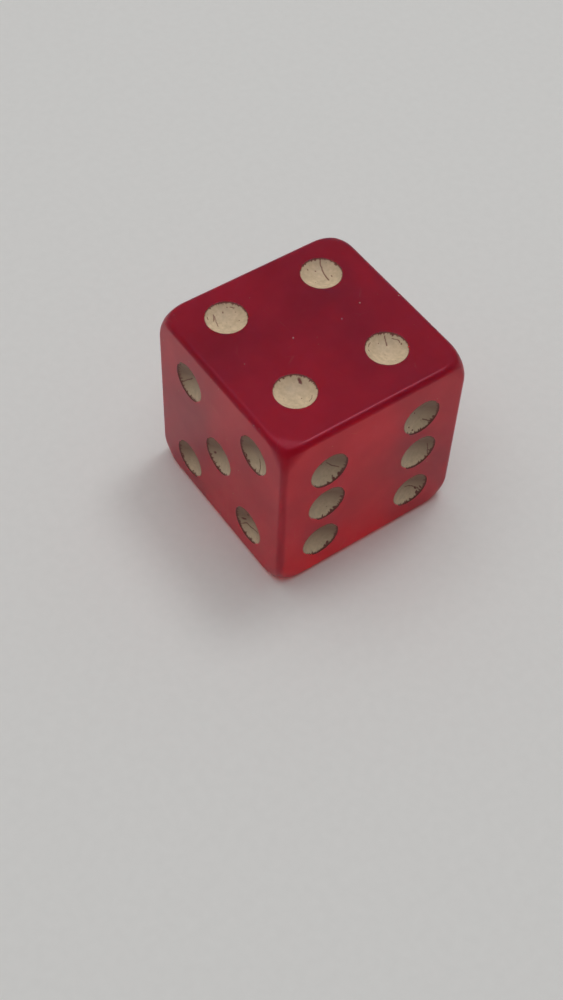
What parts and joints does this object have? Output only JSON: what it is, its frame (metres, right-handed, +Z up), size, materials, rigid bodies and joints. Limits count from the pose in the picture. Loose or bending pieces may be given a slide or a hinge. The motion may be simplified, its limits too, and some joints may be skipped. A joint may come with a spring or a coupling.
{
  "type": "six-sided die",
  "caption": "Rounded cube of translucent red plastic whose shallow round recesses are lined with cream enamel; rolled on a table in board games.",
  "frame": {"origin": "middle of the underside, on the table that the die rests on", "axes": "+Z up through the four, +X out of the six, -Y out of the five; the three is underneath"},
  "size_m": [0.016, 0.016, 0.0156],
  "materials": {
    "red_plastic": "polished translucent red, worn soft at the edges",
    "cream_enamel": "aged cream enamel, satin, chipped at the rim"
  },
  "bodies": {
    "root": {"die_body": "red_plastic", "pip_four_1": "cream_enamel", "pip_four_2": "cream_enamel", "pip_four_3": "cream_enamel", "pip_four_4": "cream_enamel", "pip_three_1": "cream_enamel", "pip_three_2": "cream_enamel", "pip_three_3": "cream_enamel", "pip_five_1": "cream_enamel", "pip_five_2": "cream_enamel", "pip_five_3": "cream_enamel", "pip_five_4": "cream_enamel", "pip_five_5": "cream_enamel", "pip_two_1": "cream_enamel", "pip_two_2": "cream_enamel", "pip_six_1": "cream_enamel", "pip_six_2": "cream_enamel", "pip_six_3": "cream_enamel", "pip_six_4": "cream_enamel", "pip_six_5": "cream_enamel", "pip_six_6": "cream_enamel", "pip_one_1": "cream_enamel"}
  },
  "joints": []
}
